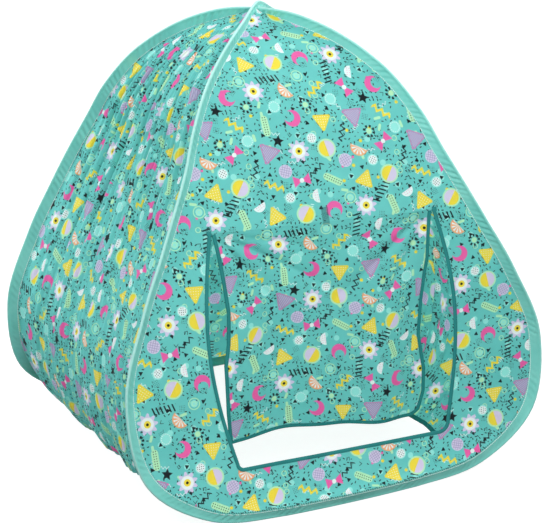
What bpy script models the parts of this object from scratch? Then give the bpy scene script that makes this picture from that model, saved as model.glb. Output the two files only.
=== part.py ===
"""A child's pop-up play tent on one spring-steel loop that crosses over itself at the apex.

The door faces -Y, +X is to the right of the door, +Z is up, and the ground is z = 0.
All lengths are in metres. The front lobe is modelled, and a half turn about Z gives the back one.
"""
import math

import bmesh
import bpy
import numpy as np

# Driving dimensions of the tent, to the outside of its sleeves
lobe_half_width = 0.462
half_depth = 0.382
tent_height = 0.976

# The loop of wire and the ferrule that joins its ends
wire_radius = 0.00175
wire_end_gap = 0.0008
ferrule_length = 0.040
ferrule_wall = 0.0006

# Cloth, sewn edges and the gaps that touching pieces keep
cloth_thickness = 0.0008
sleeve_cloth = 0.0008
tape_cloth = 0.0006
fit_gap = 0.0003
seam_gap = 0.0007
sleeve_width = 0.027
sleeve_mouth = 0.0006
ground_facet_depth = 0.0005

# Where one strand of the loop passes over the other
crossing_width = 0.0115
crossing_lift = 0.0080
crossing_dip = 0.0040
crossing_reach = 0.100

# How the standing tent leans: the lobes slide apart sideways, tilt and turn a little
side_slide = 0.020
tilt_share = 0.039
tilt_quickness = 4.0
turn_share = 0.065
top_turn_share = 0.12

# The strand behind the crossing on the right, which the cloth's weight draws down
crossing_droop = 0.042
droop_reach = 0.370
droop_low_share = 0.65
droop_full_share = 0.90

# The front panel and its door
panel_bulge = 0.008
door_top_height = 0.592
door_sill_height = 0.100
door_half_width = 0.2385
door_side_bow = 0.033
door_corner_radius = 0.030
tape_width = 0.009
tape_ease = 0.0009

# The flap that hangs from the door's top edge
flap_side_gap = 0.006
flap_length = 0.465
flap_wave_depth = 0.012
flap_fold_depth = 0.004
flap_gather_share = 0.07
flap_fold_count = 3
flap_hem_lift = 0.012
flap_lift_middle_share = -0.25
flap_lift_reach_share = 1.00
flap_tape_start_share = 0.12

# The gussets between the lobes, whose hems reach the ground in their middle
gusset_sag = 0.012
gusset_fold_depth = 0.006
gusset_fold_count = 4
hem_tape_width = 0.010
hem_height = 0.005
right_hem_out = -0.075
left_hem_out = -0.010

# Small sewn pieces over the door
tab_width = 0.015
tab_length = 0.037
tab_thickness = 0.0015
tab_aside = 0.005
tab_drop = 0.007
tack_width = 0.008
tack_height = 0.012
tack_thickness = 0.0012
tack_rise = 0.0030

cut_overrun = 0.050

# The outer edge of a lobe, from the apex round its right side to the middle of its ground edge.
# Across, forward and up are shares of the half width, the half depth and the height. The last
# three say which way the sleeve's outer edge points there: across, forward and up.
edge_shares = (
    (0.000, 0.000, 1.000, 0.00, 0.00, 1.00),
    (0.227, 0.272, 0.973, 0.35, 0.30, 0.90),
    (0.411, 0.466, 0.907, 0.60, 0.40, 0.70),
    (0.530, 0.597, 0.820, 0.75, 0.50, 0.45),
    (0.604, 0.681, 0.734, 0.80, 0.55, 0.30),
    (0.682, 0.738, 0.655, 0.80, 0.58, 0.25),
    (0.768, 0.785, 0.569, 0.80, 0.58, 0.20),
    (0.881, 0.830, 0.457, 0.80, 0.58, 0.10),
    (1.000, 0.874, 0.295, 0.82, 0.52, -0.15),
    (0.950, 0.921, 0.118, 0.65, 0.30, -0.65),
    (0.669, 0.961, 0.018, 0.25, -0.10, -0.95),
    (0.320, 0.990, 0.000, 0.05, -0.35, -0.93),
    (0.000, 1.000, 0.000, 0.00, -0.42, -0.90),
)
steps_per_share = 2
apex_steps = 6
hem_share_row = 9.5
foot_share_row = 11.0

panel_columns = 10
gusset_columns = 16
door_side_steps = 14
flap_columns = 18
flap_rows = 14

wire_colour = (0.55, 0.56, 0.58, 1.0)
sleeve_colour = (0.20, 0.60, 0.51, 1.0)
print_colour = (0.18, 0.52, 0.47, 1.0)
tape_colour = (0.05, 0.26, 0.25, 1.0)


def clear_scene():
    for thing in list(bpy.data.objects):
        bpy.data.objects.remove(thing, do_unlink=True)


def new_collection(name):
    group = bpy.data.collections.new(name)
    bpy.context.scene.collection.children.link(group)
    return group


def make_material(name, colour, roughness, metallic=0.0):
    material = bpy.data.materials.new(name)
    material.use_nodes = True
    shader = material.node_tree.nodes["Principled BSDF"]
    shader.inputs["Base Color"].default_value = colour
    shader.inputs["Roughness"].default_value = roughness
    shader.inputs["Metallic"].default_value = metallic
    return material


def unit(vector):
    return vector / np.linalg.norm(vector, axis=-1, keepdims=True)


def settle(points):
    """Lean a point of the straight tent to where it stands."""
    points = np.asarray(points, float)
    x, y, z = points[..., 0], points[..., 1], points[..., 2]
    rise = np.clip(z / tent_height, 0.0, 1.0)
    level = rise ** 1.5
    turned = turn_share * (4.0 * level * (1.0 - level)) ** 2 - top_turn_share * rise ** 12
    tilted = tilt_share * (x / lobe_half_width) * np.tanh(tilt_quickness * y / half_depth)
    behind = np.clip(np.sin(2.0 * np.arctan2(y, x)), 0.0, 1.0) * (x > 0.0)
    away = np.clip(np.hypot(x, y) / droop_reach, 0.0, 1.0)
    high = np.clip((rise - droop_low_share) / (droop_full_share - droop_low_share), 0.0, 1.0)
    droop = crossing_droop * behind * high * np.clip(np.sin(math.pi * away), 0.0, 1.0) ** 1.5
    return np.stack([
        x - side_slide * y / half_depth,
        y - x * turned,
        z * (1.0 + tilted) - droop,
    ], axis=-1)


def half_turn(points):
    return np.asarray(points) * np.array([-1.0, -1.0, 1.0])


def station_of(share_row):
    """The station on the left side at a row of edge_shares."""
    return apex_steps + round((share_row - 1) * steps_per_share)


def smooth_through(table, before, after):
    """Points on a smooth curve through the rows of a table, closer together beside the apex."""
    rows = np.vstack([before, table, after])
    last = len(rows) - 3
    curve = []
    for i in range(1, last + 1):
        a, b, c, d = rows[i - 1:i + 3]
        steps = apex_steps if i in (1, last) else steps_per_share
        for step in range(steps):
            t = step / steps
            curve.append(0.5 * (2 * b + (c - a) * t + (2 * a - 5 * b + 4 * c - d) * t ** 2
                                + (3 * b - a - 3 * c + d) * t ** 3))
    curve.append(rows[-2])
    return np.array(curve)


def eased(share):
    """A share between 0 and 1 that starts and ends gently."""
    share = np.clip(share, 0.0, 1.0)
    return share * share * (3.0 - 2.0 * share)


def lobe_edge():
    """The front lobe's outer edge: from the apex down its left side and up its right side.

    Returns the points, the way the sleeve points and the sleeve's width at each.
    """
    shares = np.array(edge_shares)
    right = shares * np.array([lobe_half_width, -half_depth, tent_height, 1.0, -1.0, 1.0])
    mirror = np.array([-1.0, 1.0, 1.0, -1.0, 1.0, 1.0])
    table = np.vstack([right * mirror, right[-2::-1]])
    crossed = np.array([-1.0, -1.0, 1.0, -1.0, -1.0, 1.0])
    curve = smooth_through(table, table[1] * crossed, table[-2] * crossed)
    points, outward = curve[:, :3], curve[:, 3:]

    runs = np.concatenate([[0.0], np.cumsum(np.linalg.norm(np.diff(points, axis=0), axis=1))])
    near_left = eased(1.0 - runs / crossing_reach)
    near_right = eased(1.0 - (runs[-1] - runs) / crossing_reach)
    points[:, 2] += crossing_lift * near_left - crossing_dip * near_right
    near = np.maximum(near_left, near_right)
    width = sleeve_width + (crossing_width - sleeve_width) * near

    lowest = points[:, 2] <= 0.0
    points[lowest, 2] = -ground_facet_depth
    before, after = points[1] * crossed[:3], points[-2] * crossed[:3]
    around = np.vstack([before, points, after])
    tangent = unit(around[2:] - around[:-2])
    outward = unit(outward - (outward * tangent).sum(1, keepdims=True) * tangent)

    return trimmed(points, tangent, fit_gap), outward, width, tangent


def trimmed(points, tangent, gap):
    """Draw the two ends of a strand back from the apex by half a gap each."""
    points = points.copy()
    points[0] += gap / 2 * tangent[0]
    points[-1] -= gap / 2 * tangent[-1]
    return points


def sheet_mesh(name, rows):
    """A mesh of quads through rows of points."""
    rows = np.asarray(rows, float)
    tall, wide = rows.shape[:2]
    mesh = bpy.data.meshes.new(name)
    grid = bmesh.new()
    verts = [[grid.verts.new(rows[i, j]) for j in range(wide)] for i in range(tall)]
    for i in range(tall - 1):
        for j in range(wide - 1):
            grid.faces.new((verts[i][j], verts[i + 1][j], verts[i + 1][j + 1], verts[i][j + 1]))
    grid.to_mesh(mesh)
    grid.free()
    return mesh


def cloth_object(name, rows, thickness, material, group):
    """A sheet of cloth through rows of points, as thick on one side of them as on the other."""
    mesh = sheet_mesh(name, rows)
    piece = bpy.data.objects.new(name, mesh)
    group.objects.link(piece)
    mesh.materials.append(material)
    solid = piece.modifiers.new("cloth", "SOLIDIFY")
    solid.thickness = thickness
    solid.offset = 0.0
    solid.use_even_offset = True
    mesh.shade_smooth()
    return piece


def wire_object(name, points, radius, material, group):
    """A round wire along a row of points."""
    curve = bpy.data.curves.new(name, "CURVE")
    curve.dimensions = "3D"
    spline = curve.splines.new("POLY")
    spline.points.add(len(points) - 1)
    for target, point in zip(spline.points, points):
        target.co = (*point, 1.0)
    curve.bevel_depth = radius
    curve.bevel_resolution = 1
    curve.use_fill_caps = True
    curve.materials.append(material)
    wire = bpy.data.objects.new(name, curve)
    group.objects.link(wire)
    return wire


def cut_with(piece, cutter):
    cut = piece.modifiers.new("cut by " + cutter.name, "BOOLEAN")
    cut.operation = "DIFFERENCE"
    cut.object = cutter


def as_cutter(piece, group):
    piece.hide_render = True
    piece.display_type = "WIRE"
    group.objects.link(piece)
    return piece


def swept_rows(centres, outward, across, profile):
    """Carry a flat profile of (across, outward) places along a row of frames."""
    rows = []
    for i, centre in enumerate(centres):
        rows.append([centre + a * across[i] + o * outward[i] for a, o in profile[i]])
    return np.array(rows)


def set_hinge(piece, point):
    """Put a piece's origin on its hinge and leave its shape where it is."""
    for vertex in piece.data.vertices:
        vertex.co = (np.array(vertex.co) - point)
    piece.location = point


clear_scene()
tent = new_collection("play_tent")
cutters = new_collection("cutters")

steel = make_material("spring_steel", wire_colour, 0.35, 1.0)
sleeve_finish = make_material("sleeve_cloth", sleeve_colour, 0.75)
print_finish = make_material("printed_cloth", print_colour, 0.8)
tape_finish = make_material("binding_tape", tape_colour, 0.75)

edge, edge_out, edge_width, edge_run = lobe_edge()
edge_across = np.cross(edge_run, edge_out)
station_count = len(edge)
ground_station = station_count // 2
seam = edge - edge_out * edge_width[:, None]

# The ground, which the sleeves are cut flat on
ground_mesh = bpy.data.meshes.new("ground_cut")
ground_box = bmesh.new()
bmesh.ops.create_cube(ground_box, size=1.0)
bmesh.ops.scale(ground_box, vec=(4 * lobe_half_width, 4 * half_depth, cut_overrun), verts=ground_box.verts)
bmesh.ops.translate(ground_box, vec=(0.0, 0.0, -cut_overrun / 2), verts=ground_box.verts)
ground_box.to_mesh(ground_mesh)
ground_box.free()
ground_cut = as_cutter(bpy.data.objects.new("ground_cut", ground_mesh), cutters)

# The sleeves: cloth folded round the wire, open along the seam
hexagon = math.cos(math.pi / 6)
pocket_corner = (wire_radius + fit_gap + sleeve_cloth / 2) / hexagon
ferrule_radius = wire_radius + fit_gap + ferrule_wall
ferrule_pocket_corner = (ferrule_radius / hexagon + fit_gap + sleeve_cloth / 2) / hexagon
lip_offset = (sleeve_mouth + sleeve_cloth) / 2


def lobe_pieces(side, place, has_ferrule):
    """The sleeve and the wire of one lobe. place carries the front lobe's points to the side."""
    stations = np.arange(station_count)
    by_ferrule = np.clip(2.0 - np.abs(stations - ground_station), 0.0, 1.0) * has_ferrule
    corners = pocket_corner + (ferrule_pocket_corner - pocket_corner) * by_ferrule
    centres = -(corners + sleeve_cloth / 2 / hexagon)
    profile = []
    for corner, centre, width in zip(corners, centres, edge_width):
        throat = centre - corner - lip_offset
        places = [(lip_offset, -width), (lip_offset, throat)]
        for turn in range(1, 6):
            angle = turn * math.pi / 3
            places.append((corner * math.sin(angle), centre - corner * math.cos(angle)))
        places += [(-lip_offset, throat), (-lip_offset, -width)]
        profile.append(places)
    rows = place(swept_rows(edge, edge_out, edge_across, profile))
    sleeve = cloth_object(side + "_sleeve", rows, sleeve_cloth, sleeve_finish, tent)
    cut_with(sleeve, ground_cut)
    axis = place(trimmed(edge + edge_out * centres[:, None], edge_run, wire_end_gap))
    wire_object(side + "_wire", axis, wire_radius, steel, tent)
    return axis


def at_front(points):
    return settle(points)


def at_back(points):
    return settle(half_turn(points))


lobe_pieces("front", at_front, False)
back_axis = lobe_pieces("back", at_back, True)

# The ferrule, a crimped tube over the joint in the wire
octagon = math.cos(math.pi / 8)
ferrule_corner = (wire_radius + fit_gap + ferrule_wall / 2) / octagon
joint = back_axis[ground_station]
ferrule_rows = []
for corner in range(9):
    turn = 2 * math.pi * corner / 8
    spoke = np.array([0.0, math.cos(turn), math.sin(turn)]) * ferrule_corner
    ends = []
    for neighbour in (back_axis[ground_station - 1], back_axis[ground_station + 1]):
        ends.append(joint + spoke + unit(neighbour - joint) * ferrule_length / 2)
    ferrule_rows.append([ends[0], joint + spoke, ends[1]])
ferrule = cloth_object("wire_ferrule", ferrule_rows, ferrule_wall, steel, tent)
weld = ferrule.modifiers.new("close", "WELD")
weld.merge_threshold = 0.00001
ferrule.modifiers.move(1, 0)

# The panels, sewn to the seams: rows run across from the left seam to the right one
hem_station = station_of(hem_share_row)
foot_station = station_of(foot_share_row)


def sewn_edge(way):
    """Where cloth starts below the seam: the panel on its front, the gusset on its back."""
    return seam + seam_gap * (way * edge_across - edge_out)


def panel_rows(bulge):
    rows = []
    shares = np.linspace(0.0, 1.0, panel_columns + 1)
    sewn = sewn_edge(-1.0)
    for station in range(1, foot_station):
        left, right = sewn[station], sewn[-1 - station]
        row = left + shares[:, None] * (right - left)
        rise = np.clip(row[:, 2] / tent_height, 0.0, 1.0)
        row[:, 1] -= bulge * 4 * shares * (1 - shares) * np.sin(math.pi * rise)
        rows.append(row)
    along = foot_station + shares * (station_count - 1 - 2 * foot_station)
    foot = [np.interp(along, np.arange(station_count), sewn[:, axis]) for axis in range(3)]
    rows.append(np.stack(foot, axis=1))
    return np.array(rows)


front_rows = panel_rows(panel_bulge)
front_grid = at_front(front_rows)
front_panel = cloth_object("front_panel", front_grid, cloth_thickness, print_finish, tent)
cloth_object("back_panel", at_back(front_rows), cloth_thickness, print_finish, tent)


def panel_place(x, z):
    """Where a place of the straight tent, seen from the front, lies on the standing front panel."""
    levels = front_rows[:, :, 2].mean(axis=1)
    upper = np.argmax(levels < z) - 1
    ends = []
    for straight, stands in zip(front_rows[upper:upper + 2], front_grid[upper:upper + 2]):
        ends.append(np.array([np.interp(x, straight[:, 0], stands[:, axis]) for axis in range(3)]))
    down = (levels[upper] - z) / (levels[upper] - levels[upper + 1])
    return ends[0] + down * (ends[1] - ends[0])


# The door: cut on its two sides and its sill, from one top corner round to the other
def door_line():
    """The door's cut as (across, up) places."""
    drop = door_top_height - door_sill_height
    straight = drop - door_corner_radius
    right = []
    for step in range(door_side_steps + 1):
        down = straight * step / door_side_steps
        bowed = door_half_width + door_side_bow * math.sin(math.pi * down / drop)
        right.append((bowed, door_top_height - down))
    corner_x = right[-1][0] - door_corner_radius
    for step in range(1, 5):
        angle = step * math.pi / 8
        right.append((corner_x + door_corner_radius * math.cos(angle),
                      door_sill_height + door_corner_radius * (1 - math.sin(angle))))
    right += [(corner_x * share, door_sill_height) for share in (0.75, 0.5, 0.25, 0.0)]
    left = [(-x, z) for x, z in right[:-1]]
    return np.array(left + right[::-1])


door_places = door_line()
cutter_mesh = bpy.data.meshes.new("door_cut")
cutter_shape = bmesh.new()
front_ring, back_ring = [], []
for x, z in door_places:
    on_panel = panel_place(x, z)
    for ring, way in ((front_ring, -1.0), (back_ring, 1.0)):
        ring.append(cutter_shape.verts.new(on_panel + np.array([0.0, way * cut_overrun, 0.0])))
count = len(door_places)
for i in range(count):
    j = (i + 1) % count
    cutter_shape.faces.new((front_ring[i], front_ring[j], back_ring[j], back_ring[i]))
cutter_shape.faces.new(front_ring)
cutter_shape.faces.new(back_ring)
bmesh.ops.recalc_face_normals(cutter_shape, faces=cutter_shape.faces)
bmesh.ops.triangulate(cutter_shape, faces=cutter_shape.faces)
cutter_shape.to_mesh(cutter_mesh)
cutter_shape.free()
door_cut = as_cutter(bpy.data.objects.new("door_cut", cutter_mesh), cutters)
cut_with(front_panel, door_cut)


# Tape folded over a cut edge, its fold on the open side
tape_stand = cloth_thickness / 2 + tape_ease + tape_cloth / 2
tape_fold = fit_gap + tape_cloth / 2


def fold_tape(name, points, inward, normals):
    """A U of tape over an edge. inward points from the edge into the cloth at each point."""
    profile = [((tape_stand, tape_width), (tape_stand, -tape_fold),
                (-tape_stand, -tape_fold), (-tape_stand, tape_width))] * len(points)
    rows = swept_rows(points, inward, normals, profile)
    return cloth_object(name, rows, tape_cloth, tape_finish, tent)


def inward_of(points, normals, toward):
    """At each point of an edge, the way into the cloth, lengthened where the edge turns."""
    steps = unit(np.diff(points, axis=0))
    sides = unit(np.cross(normals[:-1] + normals[1:], steps))
    if np.dot(sides[len(sides) // 2], toward) < 0:
        sides = -sides
    first, second = np.vstack([sides[:1], sides]), np.vstack([sides, sides[-1:]])
    bisector = unit(first + second)
    return bisector / (bisector * first).sum(1, keepdims=True)


door_edge = np.array([panel_place(x, z) for x, z in door_places])
door_normals = []
for x, z in door_places:
    here = panel_place(x, z)
    aside = panel_place(x + tape_width, z) - panel_place(x - tape_width, z)
    above = panel_place(x, z + tape_width) - panel_place(x, z - tape_width)
    door_normals.append(unit(np.cross(above, aside)))
door_normals = np.array(door_normals)
door_inward = inward_of(door_edge, door_normals, np.array([0.0, 0.0, -1.0]))
fold_tape("door_binding", door_edge, door_inward, door_normals)

# The flap hangs plumb from the door's top edge, gathered into folds toward its hem
flap_half_width = door_half_width - flap_side_gap


def flap_rows_of():
    rows = []
    across = np.linspace(-1.0, 1.0, flap_columns + 1)
    top_line = np.array([panel_place(flap_half_width * s, door_top_height - fit_gap) for s in across])
    middle, plumb = top_line[:, :2].mean(axis=0)
    aside = np.clip((across - flap_lift_middle_share) / flap_lift_reach_share, -1.0, 1.0)
    lifted = np.cos(math.pi / 2 * aside) ** 2
    for i in range(flap_rows + 1):
        fall = i / flap_rows
        loose = fall * (2 - fall)
        row = top_line.copy()
        row[:, 0] -= (row[:, 0] - middle) * flap_gather_share * loose
        row[:, 1] += (plumb - row[:, 1]) * loose
        row[:, 1] -= flap_wave_depth * loose * np.sin(math.pi * across)
        row[:, 1] += flap_fold_depth * loose * np.sin(math.pi * flap_fold_count * across)
        row[:, 2] -= (flap_length - flap_hem_lift * lifted) * fall
        rows.append(row)
    return np.array(rows)


flap_grid = flap_rows_of()
flap = cloth_object("door_flap", flap_grid, cloth_thickness, print_finish, tent)


def grid_normals(grid):
    """The normal of a sheet at each of its points."""
    down = np.gradient(grid, axis=0)
    aside = np.gradient(grid, axis=1)
    return unit(np.cross(aside, down))


flap_normals = grid_normals(flap_grid)


def three_sides(grid):
    """The free edge of the flap, from just below one top corner to just below the other."""
    starts = grid[0] + flap_tape_start_share * (grid[1] - grid[0])
    return np.vstack([starts[:1], grid[1:, 0], grid[-1, 1:-1], grid[:0:-1, -1], starts[-1:]])


flap_edge = three_sides(flap_grid)
flap_inward = inward_of(flap_edge, three_sides(flap_normals), np.array([0.0, 0.0, 1.0]))
fold_tape("flap_binding", flap_edge, flap_inward, three_sides(flap_normals))


# The gussets: slack cloth in long folds from the apex down to a free hem
def gusset_rows_of(hem_out):
    """The right gusset, from the front lobe's right seam to the back lobe's."""
    rows = []
    shares = np.linspace(0.0, 1.0, gusset_columns + 1)
    window = 4 * shares * (1 - shares)
    folds = np.sin(2 * math.pi * gusset_fold_count * shares)
    sewn = sewn_edge(2.0)
    hem_z = sewn[hem_station, 2]
    for station in range(1, hem_station + 1):
        front, behind = sewn[-1 - station], half_turn(sewn[station])
        height = (front[2] + behind[2]) / 2
        fall = 1.0 - height / tent_height
        hang = ((tent_height - height) / (tent_height - hem_z)) ** 4 * (1 - (2 * shares - 1) ** 8)
        row = front + shares[:, None] * (behind - front)
        row[:, 0] -= gusset_sag * window * math.sin(math.pi * fall)
        row[:, 0] += gusset_fold_depth * fall * window * folds
        row[:, 0] += hem_out * hang
        row[:, 2] -= (hem_z - hem_height) * hang
        rows.append(row)
    return np.array(rows)


hem_stand = cloth_thickness / 2 + fit_gap + tape_cloth
for side, hem_out, place in (("right", right_hem_out, settle), ("left", left_hem_out, at_back)):
    grid = place(gusset_rows_of(hem_out))
    cloth_object(side + "_gusset", grid, cloth_thickness, print_finish, tent)
    normals = grid_normals(grid)[-1]
    if np.dot(normals[gusset_columns // 2], grid[-1, gusset_columns // 2]) > 0:
        normals = -normals
    rise = unit(grid[-2] - grid[-1])
    tape_start = grid[-1] + hem_stand * normals
    tape_rows = np.array([tape_start, tape_start + hem_tape_width * rise])[:, 1:-1]
    cloth_object(side + "_hem_tape", tape_rows, tape_cloth, tape_finish, tent)

# The tab that holds the rolled flap: sewn at its top end inside the panel, over the door's middle
tab_stand = cloth_thickness / 2 + fit_gap + tab_thickness / 2
tab_top = []
for way in (-0.5, 0.5):
    sewn = panel_place(tab_aside + way * tab_width, door_top_height + tab_length - tab_drop)
    tab_top.append(sewn + np.array([0.0, tab_stand, 0.0]))
tab_rows = [np.array(tab_top) - np.array([0.0, 0.0, share * tab_length]) for share in (0.0, 0.5, 1.0)]
flap_tab = cloth_object("flap_tab", tab_rows, tab_thickness, tape_finish, tent)

# The tacks on the door's top corners, where the tape ends
for side, way in (("left", -1.0), ("right", 1.0)):
    tack_rows = []
    for share in (0.0, 1.0):
        row = []
        for edge_way in (-0.5, 0.5):
            x = way * (door_half_width + tape_width / 2) + edge_way * tack_width
            z = door_top_height + tack_rise + tack_height * (1 - share)
            stand = cloth_thickness / 2 + fit_gap + tack_thickness / 2
            row.append(panel_place(x, z) - np.array([0.0, stand, 0.0]))
        tack_rows.append(row)
    cloth_object("door_tack_" + side, tack_rows, tack_thickness, tape_finish, tent)

# The flap and the tab hang from their hinges, which their origins sit on
flap_hinge = flap_grid[0].mean(axis=0)
set_hinge(flap, flap_hinge)
set_hinge(bpy.data.objects["flap_binding"], flap_hinge)
set_hinge(flap_tab, np.mean(tab_rows[0], axis=0))
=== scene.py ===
import math

import bmesh
import bpy
import numpy as np
from mathutils import Matrix


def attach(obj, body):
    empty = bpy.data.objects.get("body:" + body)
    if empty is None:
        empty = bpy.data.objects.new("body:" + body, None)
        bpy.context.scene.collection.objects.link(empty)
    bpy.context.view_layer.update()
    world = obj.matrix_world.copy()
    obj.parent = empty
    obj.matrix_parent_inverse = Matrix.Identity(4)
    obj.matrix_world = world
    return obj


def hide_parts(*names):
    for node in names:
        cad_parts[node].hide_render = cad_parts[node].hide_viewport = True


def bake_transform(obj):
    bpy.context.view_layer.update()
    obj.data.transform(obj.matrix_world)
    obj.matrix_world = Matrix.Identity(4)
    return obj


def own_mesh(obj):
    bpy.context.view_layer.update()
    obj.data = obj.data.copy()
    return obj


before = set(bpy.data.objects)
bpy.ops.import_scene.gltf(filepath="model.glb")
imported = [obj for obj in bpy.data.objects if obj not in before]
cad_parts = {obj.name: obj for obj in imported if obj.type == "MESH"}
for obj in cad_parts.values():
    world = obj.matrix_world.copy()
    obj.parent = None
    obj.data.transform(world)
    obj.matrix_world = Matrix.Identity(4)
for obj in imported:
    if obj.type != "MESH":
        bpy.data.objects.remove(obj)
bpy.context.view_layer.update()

# The studio: the tent stands on a pale floor under soft light. A round lamp hangs before it, two
# more behind its sides shine through the cloth, and the white walls fill the shade.
floor_half_side = 9.0
floor_bounce = 0.14
floor_shade = 0.25
floor_glow = 0.88
wall_light = 0.62
# For each lamp: degrees round to the right of the door, degrees up, distance, width, power, colour
lamps = {
    "front_lamp": (-8, 36, 2.3, 1.3, 32.0, (1.0, 1.0, 1.0)),
    "right_lamp": (112, 35, 3.0, 2.0, 54.0, (1.0, 1.0, 1.0)),
    "left_lamp": (-138, 30, 3.0, 1.2, 53.0, (0.92, 0.98, 1.0)),
}
lamp_target = np.array([0.0, -0.1, 0.45])
white = (1.0, 1.0, 1.0, 1.0)


def new_finish(name, roughness):
    """A material with its node tree and its shader."""
    finish = bpy.data.materials.new(name)
    finish.use_nodes = True
    shader = finish.node_tree.nodes["Principled BSDF"]
    shader.inputs["Roughness"].default_value = roughness
    return finish, finish.node_tree, shader


def feed(tree, socket, value):
    """Set a node's input to a value, or join it to another node's output."""
    if isinstance(value, bpy.types.NodeSocket):
        tree.links.new(value, socket)
    else:
        socket.default_value = value


def set_up(tree, node, **inputs):
    """Feed some of a node's inputs."""
    for name, value in inputs.items():
        feed(tree, node.inputs[name.replace("_", " ")], value)
    return node


def add_node(tree, kind, **inputs):
    """A new node with some of its inputs fed."""
    return set_up(tree, tree.nodes.new(kind), **inputs)


def calc(tree, operation, *values, clamp=False):
    """A sum of numbers and other nodes' outputs."""
    node = tree.nodes.new("ShaderNodeMath")
    node.operation = operation
    node.use_clamp = clamp
    for socket, value in zip(node.inputs, values):
        feed(tree, socket, value)
    return node.outputs[0]


def seen_in_picture(tree):
    """1 for what the camera sees, straight, mirrored or through glass, and 0 for light on things."""
    ray = tree.nodes.new("ShaderNodeLightPath").outputs
    mirrored = calc(tree, "MAXIMUM", ray["Is Camera Ray"], ray["Is Glossy Ray"])
    return calc(tree, "MAXIMUM", mirrored, ray["Is Transmission Ray"])


def placed(name, data):
    """An object in the scene with this data."""
    thing = bpy.data.objects.new(name, data)
    bpy.context.scene.collection.objects.link(thing)
    return thing


floor_mesh = bpy.data.meshes.new("floor")
corners = [(x * floor_half_side, y * floor_half_side, 0.0)
           for x, y in ((-1, -1), (1, -1), (1, 1), (-1, 1))]
floor_mesh.from_pydata(corners, [], [(0, 1, 2, 3)])
floor = placed("floor", floor_mesh)
floor_paint, floor_tree, floor_shader = new_finish("floor_paint", 0.9)
floor_seen = seen_in_picture(floor_tree)
floor_tone = calc(floor_tree, "MULTIPLY_ADD", floor_seen, floor_shade - floor_bounce, floor_bounce)
set_up(floor_tree, floor_shader, Base_Color=floor_tone, Specular_IOR_Level=0.0, Emission_Color=white,
       Emission_Strength=calc(floor_tree, "MULTIPLY", floor_seen, floor_glow))
floor_mesh.materials.append(floor_paint)

walls = bpy.data.worlds.new("studio_walls")
walls.use_nodes = True
bpy.context.scene.world = walls
wall_tree = walls.node_tree
wall_strength = calc(wall_tree, "MULTIPLY_ADD", seen_in_picture(wall_tree), 1.0 - wall_light, wall_light)
set_up(wall_tree, wall_tree.nodes["Background"], Color=white, Strength=wall_strength)

for name, (turn, height, distance, width, power, colour) in lamps.items():
    lamp_data = bpy.data.lights.new(name, "AREA")
    lamp_data.shape = "DISK"
    lamp_data.size = width
    lamp_data.energy = power
    lamp_data.color = colour
    lamp = placed(name, lamp_data)
    turn, height = math.radians(turn), math.radians(height)
    lamp.rotation_euler = (math.pi / 2 - height, 0.0, turn)
    lamp_way = np.array([math.cos(height) * math.sin(turn), -math.cos(height) * math.cos(turn),
                         math.sin(height)])
    lamp.location = lamp_target + distance * lamp_way

# The camera stands in front of the tent, to its left, and looks down on it.
camera_place = np.array([-2.0941, -5.2234, 2.7069])
camera_turn = math.radians(22.0379)
camera_dip = math.radians(22.2616)
camera_roll = math.radians(-2.1207)
camera_focal_share = 2842.06 / 550

ahead = np.array([math.sin(camera_turn) * math.cos(camera_dip),
                  math.cos(camera_turn) * math.cos(camera_dip), -math.sin(camera_dip)])
level_right = np.array([math.cos(camera_turn), -math.sin(camera_turn), 0.0])
level_up = np.cross(level_right, ahead)
camera_right = math.cos(camera_roll) * level_right + math.sin(camera_roll) * level_up
camera_up = -math.sin(camera_roll) * level_right + math.cos(camera_roll) * level_up
camera_data = bpy.data.cameras.new("camera")
camera_data.sensor_fit = "HORIZONTAL"
camera_data.sensor_width = 36.0
camera_data.lens = 36.0 * camera_focal_share
camera = placed("camera", camera_data)
camera.matrix_world = Matrix([
    [camera_right[i], camera_up[i], -ahead[i], camera_place[i]] for i in range(3)
] + [[0.0, 0.0, 0.0, 1.0]])
bpy.context.scene.camera = camera
bpy.context.scene.view_settings.view_transform = "Standard"


# The hoop: one loop of spring steel wire, which crosses over itself at the apex and is joined by
# a crimped tube behind the tent. It is drawn steel, greyish blue, with fine scratches.
lobe_half_width = 0.462
half_depth = 0.382
tent_height = 0.976
wire_radius = 0.00175
wire_inset = 0.0031
crossing_lift = 0.0080
crossing_dip = 0.0040
crossing_reach = 0.100

side_slide = 0.020
tilt_share = 0.039
tilt_quickness = 4.0
turn_share = 0.065
top_turn_share = 0.12
crossing_droop = 0.042
droop_reach = 0.370
droop_low_share = 0.65
droop_full_share = 0.90

# A lobe's outer edge from the apex to the middle of its ground edge: across, forward and up as
# shares of the half width, half depth and height, then which way the sleeve points there.
edge_shares = (
    (0.000, 0.000, 1.000, 0.00, 0.00, 1.00),
    (0.227, 0.272, 0.973, 0.35, 0.30, 0.90),
    (0.411, 0.466, 0.907, 0.60, 0.40, 0.70),
    (0.530, 0.597, 0.820, 0.75, 0.50, 0.45),
    (0.604, 0.681, 0.734, 0.80, 0.55, 0.30),
    (0.682, 0.738, 0.655, 0.80, 0.58, 0.25),
    (0.768, 0.785, 0.569, 0.80, 0.58, 0.20),
    (0.881, 0.830, 0.457, 0.80, 0.58, 0.10),
    (1.000, 0.874, 0.295, 0.82, 0.52, -0.15),
    (0.950, 0.921, 0.118, 0.65, 0.30, -0.65),
    (0.669, 0.961, 0.018, 0.25, -0.10, -0.95),
    (0.320, 0.990, 0.000, 0.05, -0.35, -0.93),
    (0.000, 1.000, 0.000, 0.00, -0.42, -0.90),
)
apex_steps = 24
steps_per_share = 8


def unit(vector):
    return vector / np.linalg.norm(vector, axis=-1, keepdims=True)


def eased(share):
    """A share between 0 and 1 that starts and ends gently."""
    share = np.clip(share, 0.0, 1.0)
    return share * share * (3.0 - 2.0 * share)


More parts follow.
